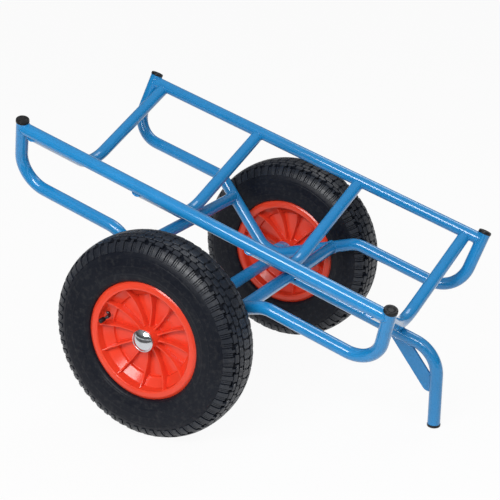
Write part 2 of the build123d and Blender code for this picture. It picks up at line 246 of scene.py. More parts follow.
gap_from_valve = -1.5  # degrees: the middle of the gap between ribs that holds the valve
wheel_place = {}
for side in ("right", "left"):
    turn = valve_angle(side)
    wheel_place[side] = (
        Matrix.Translation(wheel_centre(side))
        @ Matrix.Rotation(pi if side == "left" else 0.0, 4, "Z")
        @ Matrix.Rotation(-turn, 4, "Y")
    )
    print(side, "wheel: valve at", round(degrees(turn), 1), "degrees")

# %% [markdown]
# ## Turned pieces
# Caps, hubs, rims and tyres are round about one line. Blender has a Screw modifier for this, and
# bmesh has spin. Here each ring of points is written directly, since that leaves no seam and
# the same few lines serve for a short arc or a whole turn. Sharp corners never look real, so a
# second tool rounds the corners of an outline before it is turned. Ribs, beads and stems follow
# a path instead, as rings of points that a skin joins.


# %% Outlines and turning
def rounded(corners, steps=3, closed=False):
    """Rounds an outline. Each corner is (x, y) or (x, y, radius)."""
    points = []
    count = len(corners)
    for place, corner in enumerate(corners):
        here = Vector(corner[:2])
        radius = corner[2] if len(corner) > 2 else 0
        if radius == 0 or (not closed and place in (0, count - 1)):
            points.append(here)
            continue
        before = (Vector(corners[place - 1][:2]) - here).normalized()
        after = (Vector(corners[(place + 1) % count][:2]) - here).normalized()
        half = before.angle(after) / 2
        reach = radius / tan(half)
        centre = here + (before + after).normalized() * (radius / sin(half))
        start = here + before * reach - centre
        end = here + after * reach - centre
        swing = start.angle_signed(end)
        for step in range(steps + 1):
            points.append(centre + Matrix.Rotation(-swing * step / steps, 2) @ start)
    return points


def full_turn(count):
    """Angles evenly round a circle."""
    return [2 * pi * step / count for step in range(count)]


def turned(bm, outline, segments, closed=False):
    """Turns an outline of (outwards, radius) points round the axle, which is the Y axis."""
    rings = []
    for outwards, radius in outline:
        if radius < 1e-6:
            rings.append([bm.verts.new((0, -outwards, 0))])
            continue
        rings.append(
            [
                bm.verts.new((radius * cos(angle), -outwards, radius * sin(angle)))
                for angle in full_turn(segments)
            ]
        )
    pairs = list(zip(rings, rings[1:])) + ([(rings[-1], rings[0])] if closed else [])
    for first, second in pairs:
        for step in range(segments):
            after = (step + 1) % segments
            ways = (first, step), (first, after), (second, after), (second, step)
            corners = list(dict.fromkeys(ring[i % len(ring)] for ring, i in ways))
            if len(corners) > 2:
                bm.faces.new(corners)


def ahead_at(path, place, closed=False):
    """The way a path runs at one of its points."""
    count = len(path)
    if closed:
        return (path[(place + 1) % count] - path[place - 1]).normalized()
    return (path[min(place + 1, count - 1)] - path[max(place - 1, 0)]).normalized()


def square_to(ahead, side):
    """A direction square to a path, carried on from the one before it."""
    if side is None:
        side = ahead.orthogonal().normalized()
    return (side - ahead * side.dot(ahead)).normalized()


def ring_round(bm, point, side, other, sizes):
    """A ring of points round one point of a path, at one size each."""
    return [
        bm.verts.new(point + (side * cos(angle) + other * sin(angle)) * size)
        for angle, size in zip(full_turn(len(sizes)), sizes)
    ]


def skin(bm, first, second):
    """Faces between two equal rings."""
    for i in range(len(first)):
        j = (i + 1) % len(first)
        bm.faces.new((first[i], first[j], second[j], second[i]))


def join_rings(bm, rings):
    """A skin over a row of equal rings, with both ends closed."""
    for first, second in zip(rings, rings[1:]):
        skin(bm, first, second)
    bm.faces.new(rings[0][::-1])
    bm.faces.new(rings[-1])


def make_piece(name, bm, material, body, nodes=(), place=None, smooth=40):
    """A bmesh made into a piece that rides on a body and stands for its CAD nodes."""
    bmesh.ops.recalc_face_normals(bm, faces=bm.faces)
    if place is not None:
        bm.transform(place)
    mesh = bpy.data.meshes.new(name)
    bm.to_mesh(mesh)
    bm.free()
    for finish in material if isinstance(material, tuple) else (material,):
        mesh.materials.append(finish)
    mesh.shade_smooth()
    if smooth < 180:
        mesh.set_sharp_from_angle(angle=radians(smooth))
    piece = add_object(name, mesh)
    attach(piece, body)
    if nodes:
        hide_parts(*nodes)
    print(f"{name}: {sum(len(f.vertices) - 2 for f in mesh.polygons)} triangles")


def dress_wheels(mesh, name, finish, node):
    """A copy of one wheel piece on each wheel, in place of its CAD node."""
    for side in ("right", "left"):
        make_piece(
            f"{side}_{name}", mesh.copy(), finish, f"{side}_wheel",
            [f"{side}_{node}"], wheel_place[side], 35,
        )
    mesh.free()


print("turning tools ready")

# %% [markdown]
# ## The tyre's shape
# The tyre is 400 mm across and 100 mm wide. Its outside is one smooth section, from the middle
# of the crown over the shoulder and the sidewall to the bead at the rim. The tread is cut into
# this section. A section table with arc lengths lets every block be laid out flat, as on a
# drawing, and then wrapped round the tyre.

# %% The tyre's section
tyre_radius = (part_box("right_tyre")[1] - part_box("right_tyre")[0]).z / 2
section_points = [  # millimetres: outwards from the middle plane, and down from the crown
    (0, 0.5), (10, 0.8), (20, 2.0), (28, 4.2), (32, 6.2), (37, 9.8), (41, 14.2), (44.6, 20.2),
    (46.9, 26.4), (48.2, 31.5), (49.2, 38.0), (49.7, 46.0), (49.6, 55.0), (48.8, 65.0),
    (46.9, 74.5), (43.5, 81.2), (40.6, 83.2),
]


def smooth_section(points, steps=6):
    """A Catmull-Rom curve through the section's points, in metres as (outwards, radius)."""
    curve = []
    padded = [(-points[1][0], points[1][1]), *points, points[-1]]
    for a, b, c, d in zip(padded, padded[1:], padded[2:], padded[3:]):
        for step in range(steps):
            t = step / steps
            curve.append(
                [
                    0.5 * (2 * q + (r - p) * t + (2 * p - 5 * q + 4 * r - s) * t**2
                           + (3 * q - p - 3 * r + s) * t**3)
                    for p, q, r, s in zip(a, b, c, d)
                ]
            )
    curve.append(points[-1])
    return [Vector((x / 1000, tyre_radius - drop / 1000)) for x, drop in curve]


section = smooth_section(section_points)
section_length = [0.0]
for first, second in zip(section, section[1:]):
    section_length.append(section_length[-1] + (second - first).length)


def on_tyre(turn, across, height=0.0):
    """A point of the tyre: degrees round it, metres across from the crown, metres above it."""
    hand = -1 if across < 0 else 1
    reach = min(abs(across), section_length[-1] - 1e-6)
    place = next(i for i, length in enumerate(section_length[1:]) if length >= reach)
    share = (reach - section_length[place]) / (section_length[place + 1] - section_length[place])
    along = section[place + 1] - section[place]
    point = section[place] + along * share
    # The normal is blended between neighbours, so blocks lean evenly
    low, high = section[max(place - 3, 0)], section[min(place + 4, len(section) - 1)]
    chord = (high - low).normalized()
    if place <= 2:
        chord = Vector((1, 0)).lerp(along.normalized(), 0.5)
    normal = Vector((-chord.y, chord.x))
    point = point + normal * height
    angle = radians(turn)
    return Vector((point.y * cos(angle), -hand * point.x, point.y * sin(angle)))


print("tread width along the section:", round(section_length[-1] * 2000), "mm")

# %% [markdown]
# ## Tread blocks
# A block tread grips soft ground. Each block has a flat top, a small bevel and steep walls
# down to the groove. The blocks repeat 64 times round the tyre, so one pitch is drawn, with two
# kinds of outer block that take turns, and the rest follow. Modelled blocks cost more faces than
# a bump map, but they alone give the toothed outline that such a tyre has against the light.


# %% One block
def add_block(bm, turn, rows, height, depth, bevel=0.0004, flip=1, step=0.003):
    """A block from rows of (across, left edge, right edge) in millimetres, wrapped on the tyre."""
    fine = []
    for (t0, a0, b0), (t1, a1, b1) in zip(rows, rows[1:]):
        count = max(1, round((t1 - t0) / 1000 / step))
        fine += [
            [v + (w - v) * i / count for v, w in ((t0, t1), (a0, a1), (b0, b1))]
            for i in range(count)
        ]
    fine.append(list(rows[-1]))
    arc = degrees(0.001 / tyre_radius)
    rims = []
    for level, inset in ((height, bevel * 1000), (height - bevel, 0), (height - depth, -0.3)):
        left, right = [], []
        for place, (across, a, b) in enumerate(fine):
            ends = inset if place == 0 else -inset if place == len(fine) - 1 else 0
            t = (across + ends) / 1000 * flip
            left.append(bm.verts.new(on_tyre(turn + (a + inset) * arc, t, level)))
            right.append(bm.verts.new(on_tyre(turn + (b - inset) * arc, t, level)))
        rims.append((left, right))
    top_left, top_right = rims[0]
    for i in range(len(fine) - 1):
        top = bm.faces.new((top_left[i], top_right[i], top_right[i + 1], top_left[i + 1]))
        top.material_index = 1
    loops = [left + right[::-1] for left, right in rims]
    for upper, lower in zip(loops, loops[1:]):
        for i in range(len(upper)):
            j = (i + 1) % len(upper)
            side = bm.faces.new((upper[i], lower[i], lower[j], upper[j]))
            side.material_index = 1
    foot = loops[-1]
    count = len(fine)
    for i in range(count - 1):
        bm.faces.new((foot[i], foot[i + 1], foot[2 * count - 2 - i], foot[2 * count - 1 - i]))


pitch_count = 64
pitch = 360 / pitch_count
groove_depth = 0.0075
centre_block = [
    (-10.2, -8.2, 1.4), (-7.6, -6.4, 7.6), (-4.2, -10.2, 6.6), (-0.8, -6.8, 9.8),
    (0.8, -10.2, 6.4), (4.4, -6.4, 10.2), (7.6, -8.6, 6.4), (10.2, -2.0, 8.2),
]
inner_block = [
    (12.2, -8.4, 3.0), (14.2, -6.6, 9.2), (16.8, -10.2, 6.4), (19.2, -6.2, 10.2),
    (21.2, -8.8, 7.4), (23.0, -3.0, 8.6),
]
outer_block = [(24.8, -4.4, 8.6), (26.4, -8.8, 7.4), (29.0, -7.2, 9.2), (34.0, -8.6, 8.0)]
notched_block = [(24.8, -8.6, 5.0), (26.6, -7.4, 9.0), (29.2, -9.2, 3.8), (31.4, -8.4, 2.4)]
print("pitch:", round(2 * pi * tyre_radius / pitch_count * 1000, 1), "mm")
half_cut, zigzag = 0.28, 1.3  # millimetres: of the knife cut in a block


def cut_block(bm, turn, rows, flip):
    """A tread block with a zigzag knife cut across its middle."""
    left, right = [], []
    for place, (across, a, b) in enumerate(rows):
        middle_line = (a + b) / 2 + (zigzag if place % 2 else -zigzag)
        left.append((across, a, middle_line - half_cut))
        right.append((across, middle_line + half_cut, b))
    for half in (left, right):
        add_block(bm, turn, half, 0, groove_depth, flip=flip)


# %% [markdown]
# ## The whole tyre
# The body is turned from the same section, set down by the groove's depth under the tread and
# flush from the shoulder ridge on. Fine moulded rings and one groove run round the sidewall. The
# shoulder has a broad raised bar at each pitch, and every second bar has an L-shaped notch. Two
# low narrow ribs stand between one bar and the next. Each is a thin block.


# %% The tyre's body
# millimetres: across from the crown, and down from the outer section
drop_stages = [(0, 6.2), (33, 6.0), (36, 4.4), (50, 2.8), (55, 1.5), (61, 0.5), (66, 0.0)]
# millimetres: across from the crown, and high, or deep where it is negative
sidewall_rings = [(64.6, 0.15), (67.6, -0.3), (84, 0.25), (99.5, 0.35), (110, 0.3), (112.4, 0.5)]
ring_half = 0.75  # of its width, in millimetres
tyre_segments = 256


def body_drop(across):
    """How far the tyre's body lies under the outer section."""
    for (t0, d0), (t1, d1) in zip(drop_stages, drop_stages[1:]):
        if across * 1000 <= t1:
            return (d0 + (d1 - d0) * (across * 1000 - t0) / (t1 - t0)) / 1000
    return 0.0


def ring_height(across):
    """Height of the moulded rings at a distance across."""
    return sum(
        height / 1000 * max(0.0, 1 - abs(across * 1000 - place) / ring_half)
        for place, height in sidewall_rings
    )


def tyre_outline():
    """The body's closed outline, as (outwards, radius)."""
    outer = []
    reach = section_length[-1]
    across = 0.0
    while across < reach:
        outer.append(across)
        near_ring = any(abs(across * 1000 - ring) < 2 * ring_half for ring, high in sidewall_rings)
        across += 0.0004 if near_ring else 0.0028
    outer.append(reach - 1e-5)
    half = []
    for across in outer:
        point = on_tyre(0, across, ring_height(across) - body_drop(across))
        half.append(Vector((-point.y, point.x)))
    bead = half[-1]
    # Outwards, and above the bead
    inside = [
        (0.034, -0.001), (0.034, -0.012), (0.027, -0.012), (0.027, 0.0), (0.038, 0.022),
        (0.040, 0.040), (0.034, 0.058), (0.018, 0.067), (0.0, 0.0685),
    ]
    right = half + [Vector((x, bead.y + above)) for x, above in inside]
    left = [Vector((-p.x, p.y)) for p in right[1:-1]]
    return right + left[::-1]


def whole_tyre():
    bm = bmesh.new()
    turned(bm, tyre_outline(), tyre_segments, closed=True)
    for place in range(pitch_count):
        turn = place * pitch + gap_from_valve
        odd = place % 2
        cut_block(bm, turn, centre_block, 1)
        for flip in (1, -1):
            shift = turn + (0 if flip == 1 else pitch / 2)
            cut_block(bm, shift + pitch / 2, inner_block, flip)
            add_block(bm, shift, notched_block if odd else outer_block, 0, groove_depth, flip=flip)
            # The raised bar, with an L-shaped notch in every second one
            rows = [(35.6, -4.9, 4.9), (47, -4.7, 4.7), (57, -4.3, 4.3)]
            if odd:
                rows = [(33.0, -4.9, 0.6), (39.6, -4.9, 0.4), (40.0, -4.9, 4.9), *rows[1:]]
            add_block(bm, shift, rows, 0.0004, 0.005, 0.0003, flip, 0.005)
            # Two low ribs between the bars
            for rib in (7.9, 11.8):
                rows = [(37.5, rib - 1.6, rib + 1.6), (60.0, rib - 1.4, rib + 1.4)]
                add_block(bm, shift, rows, -0.0012, 0.0026, 0.0003, flip, 0.006)
    return bm


tyre_mesh = whole_tyre()
print("tyre faces:", len(tyre_mesh.faces))

# %% [markdown]
# ## Rubber
# Tyre rubber is never pure black. It is a dark, slightly blue grey. The sidewall is satin, and
# the bars and blocks of the tread are cleaner from the mould and shine more, so the mesh
# carries two finishes. Fine noise in the bump breaks the shine into grain, a wider noise makes
# some patches duller than others, and dust settles a little in both.


# %% Rubber
def tyre_rubber(name, dark, dusty, gloss, roughness, grain_size):
    material, shader = new_material(name)
    grain = patches(material, grain_size, 3)
    cloud = patches(material, 14, 4)
    dust = patches(material, 120, 5, 0.7)
    colour = blend_colours(material, between(material, cloud, 0.0, 1.0), dark, dusty)
    colour = blend_colours(
        material, between(material, dust, 0.0, 0.5, 0.5, 0.75), colour, (0.045, 0.045, 0.046)
    )
    feed(material, shader, Base_Color=colour, Roughness=between(material, cloud, *roughness))
    rough = bump(material, grain, 0.15, 0.0003, bump(material, cloud, 0.08, 0.002))
    feed(material, shader, Specular_IOR_Level=gloss, Normal=rough)
    return material


sidewall_rubber = tyre_rubber(
    "sidewall_rubber", (0.0052, 0.0066, 0.0120), (0.0072, 0.0092, 0.0150), 0.16, (0.36, 0.48), 900
)
tread_rubber = tyre_rubber(
    "tread_rubber", (0.0075, 0.0100, 0.0170), (0.012, 0.016, 0.025), 0.45, (0.34, 0.46), 600
)
dress_wheels(tyre_mesh, "tyre_body", (sidewall_rubber, tread_rubber), "tyre")

# %% [markdown]
# ## The plastic rim
# The rim is one moulding: a flat ring that holds the tyre, a barrel that narrows towards the
# middle, a thin disc, a hub and twelve ribs on each face. Moulded plastic has rounded corners and
# fine draft, so its outline is rounded before it is turned. The ribs are thin walls whose edge
# dips between the hub and the barrel. The cone is drawn steeper than the measured one, and the
# ring's outer edge further back. Both are chosen for how the light falls on them.


# %% The rim's body
def rim_outline():
    """The rim's closed outline in metres, with its corners rounded."""
    face = [
        (34, 10.4, 0.5), (34, 21.5, 1.6), (3, 22.5, 3), (3, 82, 3), (9.5, 82, 2.5), (21, 99, 4),
        (38.9, 99.5, 2.2), (40, 103, 2), (40, 110.5, 5), (36.6, 116, 1), (34, 116, 0.6),
        (34, 104, 1.5), (22, 104, 2.5), (10.5, 87, 3),
    ]
    back = [(-x, *rest) for x, *rest in face[::-1]]
    back[-2:] = [(-38, 21.5, 1.6), (-38, 10.4, 0.5)]
    corners = [tuple(x / 1000 for x in corner) for corner in face + back]
    return rounded(corners, steps=4, closed=True)


# (radius, outwards) of a rib's edge: at the hub, at its lowest point and at the barrel
rib_points = (0.0195, 0.0195), (0.0555, 0.0155), (0.1015, 0.036)
rib_half, rib_lip = 0.00165, 0.0011  # of its thickness, and the rounding of its edge
rib_steps = 22
rib_count = 12
rim_segments = 144


def rib_edge(radius):
    """How far a rib's edge stands out at a radius, on the arc through its three known points."""
    (x0, y0), (x1, y1), (x2, y2) = rib_points
    slope = (x1 - x0) * (y2 - y0) - (x2 - x0) * (y1 - y0)
    a, b = x1**2 + y1**2 - x0**2 - y0**2, x2**2 + y2**2 - x0**2 - y0**2
    centre_x = (a * (y2 - y0) - b * (y1 - y0)) / (2 * slope)
    centre_y = (b * (x1 - x0) - a * (x2 - x0)) / (2 * slope)
    size = sqrt((x0 - centre_x) ** 2 + (y0 - centre_y) ** 2)
    return centre_y - sqrt(size**2 - (radius - centre_x) ** 2)


def rib_foot(radius):
    """How deep a rib's foot lies: in the disc, or inside the barrel's wall."""
    return 0.0 if radius < 0.0845 else 0.0100 + (radius - 0.0845) * 11.5 / 17


def add_rib(bm, turn, face):
    rings = []
    start, end = rib_points[0][0], rib_points[-1][0]
    lip = rib_lip
    spin = Matrix.Rotation(-radians(turn), 3, "Y")
    for step in range(rib_steps + 1):
        radius = start + (end - start) * step / rib_steps
        top, foot = rib_edge(radius), rib_foot(radius)
        # A rib thickens where it meets the hub
        half = rib_half + 0.0009 * max(0.0, (0.032 - radius) / 0.0125) ** 2
        across = [(-half - 0.0006, foot), (-half - 0.0004, top * 0.5), (-half, top - lip)]
        across += [(-half + lip * 0.3, top - lip * 0.3), (-half + lip, top)]
        across += [(-x, y) for x, y in across[::-1]]
        points = [spin @ Vector((radius, -face * out, aside)) for aside, out in across]
        rings.append([bm.verts.new(point) for point in points])
    join_rings(bm, rings)


def whole_rim():
    bm = bmesh.new()
    turned(bm, rim_outline(), rim_segments, closed=True)
    for rib in range(rib_count):
        for face in (1, -1):
            add_rib(bm, gap_from_valve + (rib + 0.5) * 360 / rib_count, face)
    return bm


rim_mesh = whole_rim()
print("rim faces:", len(rim_mesh.faces))

# %% [markdown]
# ## Orange-red plastic
# The rim is moulded in coloured polypropylene. It is smooth but not mirror-like. Light enters it a
# little, so the lit side glows orange while the shaded side turns deep red. Here the colour only
# drifts in patches between two close reds, and faint flow marks from the mould vary the gloss.


# %% Rim plastic
def rim_plastic():
    material, shader = new_material("orange_red_plastic")
    flow = patches(material, 18, 3)
    grain = patches(material, 700, 2)
    reds = (0.76, 0.050, 0.021), (0.81, 0.062, 0.026)
    base_finish(material, shader, flow, reds, grain, (0.17, 0.25))
    marks = bump(material, grain, 0.05, 0.0002, bump(material, flow, 0.06, 0.003))
    feed(material, shader, Specular_IOR_Level=0.42, Normal=marks)
    return material


dress_wheels(rim_mesh, "rim_moulding", rim_plastic(), "rim")

# %% [markdown]
# ## A frame for each turned piece
# A cap sits on a post that leans two ways. Its CAD node knows where: turned into a frame whose
# -Y axis follows the post, the node's vertices give the middle line and the top.


# %% Frames on leaning posts
def facing(direction):
    """The turn that takes -Y to a direction."""
    return Vector((0, -1, 0)).rotation_difference(Vector(direction).normalized()).to_matrix()


def end_of(node, direction):
    """A frame whose -Y points along the direction, at the far end of the node's own axis."""
    turn = facing(direction)
    points = [turn.transposed() @ v.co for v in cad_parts[node].data.vertices]
    low = Vector([min(p[i] for p in points) for i in range(3)])
    high = Vector([max(p[i] for p in points) for i in range(3)])
    centre = Vector(((low.x + high.x) / 2, low.y, (low.z + high.z) / 2))
    return Matrix.Translation(turn @ centre) @ turn.to_4x4()


hands = ("left", 1), ("right", -1)
deck_pitch = radians(17)
loop_lean = radians(14.9)


def off_deck(x, y, z):
    """A direction on the sloping deck, turned into the trolley's own frame."""
    return Vector(
        (x * cos(deck_pitch) + z * sin(deck_pitch), y, -x * sin(deck_pitch) + z * cos(deck_pitch))
    )


post_up = {side: off_deck(0, hand * sin(loop_lean), cos(loop_lean)) for side, hand in hands}
print("posts lean", {side: [round(x, 3) for x in way] for side, way in post_up.items()})

# %% [markdown]
# ## Black caps
# Each open tube end is closed with a pressed-in plastic cap: a low rounded lid a little wider
# than the tube, with a shallow ring moulded in its top, and ribs on the plug that grip the
# tube. Turning one outline gives the lid and the plug at once.


# %% Moulded caps
def black_moulding():
    material, shader = new_material("black_moulded_plastic")
    grain = patches(material, 1400, 2)
    cloud = patches(material, 60, 3)
    blacks = (0.0055, 0.0058, 0.0065), (0.010, 0.0105, 0.012)
    base_finish(material, shader, cloud, blacks, cloud, (0.33, 0.46))
    feed(material, shader, Specular_IOR_Level=0.3, Normal=bump(material, grain, 0.2, 0.0002))
    return material


plastic_black = black_moulding()


def cap_outline(radius, height, plug_radius, plug_length, ring):
    """Lid and plug in metres, measured back from the lid's top."""
    corners = [
        (-0.0009, 0), (-0.0009, ring * 0.7, 0.0008), (0, ring * 0.85, 0.0006),
        (-0.0011, ring, 0.0008), (0, ring + 0.0012, 0.0008), (-0.0002, radius - 0.0003, 0.0019),
        (-height, radius, 0.0004), (-height, plug_radius),
    ]
    outline = rounded(corners, steps=4)
    ribs = 4
    for rib in range(ribs):
        start = height + (plug_length - 0.002) * (rib + 0.3) / ribs
        outline += [Vector((-start, plug_radius)), Vector((-start - 0.0005, plug_radius - 0.0006))]
        outline += [Vector((-start - 0.0022, plug_radius - 0.0006))]
    end = height + plug_length
    return outline + [Vector((-end, plug_radius - 0.001)), Vector((-end, 0))]


cap_points = cap_outline(
    radius=0.0132, height=0.006, plug_radius=0.0104, plug_length=0.015, ring=0.0075
)
posts = [(end, side) for side in ("left", "right") for end in ("rear", "front")]
caps = [(f"{end}_{side}_post_cap", "_lid", post_up[side]) for end, side in posts]
for node, ending, way in [*caps, ("leg_foot", "_cap", (0, 0, -1))]:
    bm = bmesh.new()
    turned(bm, cap_points, 48)
    place = end_of(node, way)
    make_piece(node + ending, bm, plastic_black, "frame", [node], place)

# %% [markdown]
# ## Weld beads
# Each joint of the frame is welded all round, and the painted bead shows as a small, slightly
# lumpy fillet. The line where one tube meets another is found by walking along the first
# tube's surface until it touches the second. A bead of changing size follows that line, half
# sunk in both tubes. The joints' places come from the boxes of the CAD nodes.


# %% Finding the line of a joint
tube_radius = (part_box("rear_cross_tube")[1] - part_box("rear_cross_tube")[0]).x / 2
axle_middle = (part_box("axle_shaft")[0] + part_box("axle_shaft")[1]) / 2


def on_deck(x, y, z):
    """A point given along, across and square to the deck, from the axle's middle."""
    return axle_middle + off_deck(x, y, z)


def along_deck(point):
    """How far a point lies along the deck and square to it, from the axle's middle."""
    gap = point - axle_middle
    return (
        gap.x * cos(deck_pitch) - gap.z * sin(deck_pitch),
        gap.x * sin(deck_pitch) + gap.z * cos(deck_pitch),
    )


def middle_of(node):
    return (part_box(node)[0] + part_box(node)[1]) / 2


def joint_line(start, way, onto, onto_way):
    """Where a tube that starts outside another and runs along way meets its surface."""
    way, onto_way = way.normalized(), onto_way.normalized()
    side = way.cross(onto_way).normalized()
    other = way.cross(side)
    line = []
    for angle in full_turn(40):
        point = start + (side * cos(angle) + other * sin(angle)) * tube_radius * 0.995
        # Square to the other tube's line, the surface is a circle
        gap = point - onto
        gap -= onto_way * gap.dot(onto_way)
        run = way - onto_way * way.dot(onto_way)
        a, b, c = run.length_squared, gap.dot(run), gap.length_squared - tube_radius**2
        reach = b * b - a * c
        line.append(point + way * ((-b - sqrt(max(reach, 0))) / a))
    return line


bead_sides = 8


def add_bead(bm, line, size, closed=True, seed=0):
    """A lumpy bead along a line of points."""
    count = len(line)
    side = None
    rings = []
    for place, point in enumerate(line):
        ahead = ahead_at(line, place, closed)
        side = square_to(ahead, side)
        lump = size * (1 + 0.13 * sin(place * 2.4 + seed) + 0.08 * sin(place * 1.1 + 2 * seed))
        rings.append(ring_round(bm, point, side, ahead.cross(side), [lump] * bead_sides))
    if not closed:
        join_rings(bm, rings)
        return
    for place, ring in enumerate(rings):
        after = rings[(place + 1) % count]
        if place == count - 1:
            # The last ring meets the first at the corner that lies nearest
            shift = min(range(bead_sides), key=lambda k: (ring[0].co - after[k].co).length)
            after = after[shift:] + after[:shift]
        skin(bm, ring, after)


rail_level = along_deck(middle_of("left_top_rail"))[1]
rail_across = middle_of("left_top_rail").y
print("rails", round(rail_level * 1000, 1), "mm above the axle, square to the deck")

# %% [markdown]
# ## The frame's beads
# The cradle bars end against the rails, the rails against the posts, the cross tubes against
# the side loops, and the spine against the front cross tube. The loops rest on the axle tube
# and the middle bars on the cross tubes, where a short bead runs along each side.

# %% Beads on bars, rails and posts
deck_way = off_deck(1, 0, 0)
bar_slope = radians(28.7)
loop_slope = radians(32.45)
# The beads' half widths, in metres
bar_bead, post_bead, spine_bead, loop_bead = 0.0012, 0.0016, 0.0012, 0.0024
rest_bead, collar_bead, axle_bead, gusset_bead = 0.0028, 0.0022, 0.0026, 0.0019
gusset_face = 0.0032  # from the gusset's middle plane to its beads' lines
bm = bmesh.new()
for place, name in enumerate(("rear", "rear_middle", "front_middle", "front")):
    along, level = along_deck(middle_of(f"{name}_cradle_bar"))
    for hand in (-1, 1):
        end = on_deck(along, hand * rail_across, rail_level - 0.004)
        way = off_deck(0, hand * cos(bar_slope), sin(bar_slope))
        onto = on_deck(along, hand * rail_across, rail_level)
        line = joint_line(end - way * 0.08, way, onto, deck_way)
        add_bead(bm, line, bar_bead, seed=place * 2 + hand)
for side, hand in hands:
    for end, way in (("rear", -1), ("front", 1)):
        cap = end_of(f"{end}_{side}_post_cap", post_up[side])
        post = cap.to_translation()
        rail = on_deck(along_deck(post)[0], hand * rail_across, rail_level)
        line = joint_line(rail - deck_way * way * 0.1, deck_way * way, post, post_up[side])
        add_bead(bm, line, post_bead, seed=hand + way)
make_piece("deck_weld_beads", bm, paint, "frame", smooth=180)

# %% Beads on the cross tubes, spine, loops and axle
bm = bmesh.new()
across = Vector((0, 1, 0))
for end in ("rear", "front"):
    tube = middle_of(f"{end}_cross_tube")
    along, level = along_deck(tube)
    # The loop slopes beside the axle, so its line there leans along the deck
    rise = tan(loop_slope) * (1 if end == "front" else -1)
    for hand in (-1, 1):
        reach = rail_across - (rail_level - level) * tan(loop_lean)
        onto = on_deck(along, hand * reach, level)
        # Along the loop's plane: a step along the deck, and its rise up the leaning plane
        way = off_deck(1, hand * rise * sin(loop_lean), rise * cos(loop_lean))
        line = joint_line(onto - across * hand * 0.1, across * hand, onto, way)
        add_bead(bm, line, loop_bead, seed=hand * 3)
tube = middle_of("front_cross_tube")
spine_line = joint_line(tube + deck_way * 0.1, -deck_way, tube, across)
add_bead(bm, spine_line, spine_bead, seed=5)
for end, name in (("rear", "rear_middle"), ("front", "front_middle")):
    # A bar's lowest point lies on the cross tube
    tube = middle_of(f"{end}_cross_tube")
    top = tube + off_deck(0, 0, 1) * tube_radius
    for hand in (-1, 1):
        line = [
            top + deck_way * hand * 0.0045 + across * 0.011 * (step / 6 - 1) for step in range(13)
        ]
        add_bead(bm, line, rest_bead, closed=False, seed=hand)
for side, hand in hands:
    collar = middle_of(f"{side}_axle_collar")
    inner = min(abs(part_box(f"{side}_axle_collar")[i].y) for i in (0, 1))
    ring = [
        Vector((collar.x + cos(a) * tube_radius, hand * inner, collar.z + sin(a) * tube_radius))
        for a in full_turn(40)
    ]
    add_bead(bm, ring, collar_bead, seed=7)
    # The loop's lowest point lies on the axle tube, in a small ring of weld
    touch = rail_across - (rail_level - 2 * tube_radius) * tan(loop_lean)
    ring = [
        on_deck(-0.004 + 0.007 * cos(a), hand * touch + 0.007 * sin(a), tube_radius)
        for a in full_turn(24)
    ]
    add_bead(bm, ring, axle_bead, seed=2)
# The gusset is welded on both faces, to the spine and to the leg
leg_x = middle_of("leg_foot").x
cross_level = along_deck(middle_of("front_cross_tube"))[1]
corner = (leg_x - axle_middle.x - cross_level * sin(deck_pitch)) / cos(deck_pitch)
gusset_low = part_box("leg_gusset")[0].z
weld_depth = tube_radius + 0.0002
for hand in (-1, 1):
    line = [
        on_deck(corner - 0.093 + 0.043 * i / 16, hand * gusset_face, cross_level - weld_depth)
        for i in range(17)
    ]
    add_bead(bm, line, gusset_bead, closed=False, seed=hand)
    line = [
        Vector((leg_x - weld_depth, hand * gusset_face, gusset_low + 0.001 + 0.033 * i / 14))
        for i in range(15)
    ]
    add_bead(bm, line, gusset_bead, closed=False, seed=2 * hand)
make_piece("under_weld_beads", bm, paint, "frame", smooth=180)

# %% [markdown]
# ## The vent hole
# A small hole beside the front cross tube lets gas out of the spine while it is welded. Behind its
# edge the tube is hollow and unlit, so a small dark disc at the bottom of the drilled pocket
# stands in for that shade: it is painted shade, not a part of the trolley. It is recessed, so that
# the blue-painted wall of the hole still shows.

# %% Painted shade: a dark disc in the vent hole
hole_turn = radians(12)
hole_offset, hole_recess = 0.0035, 0.0016  # past the cross tube, and under the spine's surface
hole_out = off_deck(0, -cos(hole_turn), sin(hole_turn))
tube = middle_of("front_cross_tube")
pocket = tube + deck_way * (tube_radius + hole_offset) + hole_out * (tube_radius - hole_recess)
bm = bmesh.new()
disc = [(-0.0003, 0), (0, 0.0021), (-0.0004, 0.00223), (-0.001, 0.0021), (-0.001, 0)]
turned(bm, [Vector(point) for point in disc], 24)
# Painted shade: the disc wears the black plastic finish only to stand for the dark inside of the
# hollow tube.
make_piece(
    "vent_hole_painted_shade", bm, plastic_black, "frame",
    place=Matrix.Translation(pocket) @ facing(hole_out).to_4x4(),
)

# %% [markdown]
# ## Bright metal
# The hub cap is pressed steel with a chrome plate, and the washer and axle are zinc plated. A
# mirror finish has no colour of its own: it shows the room. So it needs something dark and
# something bright to reflect. Tiny dents in the bump keep the reflection from looking drawn.


# %% Chrome and zinc
def bright_metal(name, tint, roughness, dent):
    material, shader = new_material(name)
    swirl = patches(material, 160, 3)
    fine = patches(material, 1500, 2)
    tints = tint, tuple(0.93 * x for x in tint)
    base_finish(material, shader, swirl, tints, fine, roughness)
    feed(material, shader, Metallic=1.0, Normal=bump(material, swirl, dent, 0.001))
    return material


chrome = bright_metal("chrome_plate", (0.64, 0.655, 0.68), (0.07, 0.20), 0.10)
zinc = bright_metal("zinc_plate", (0.62, 0.63, 0.64), (0.28, 0.42), 0.2)
for name in ("axle_shaft", "left_hub_washer", "right_hub_washer"):
    refinish(name, zinc)


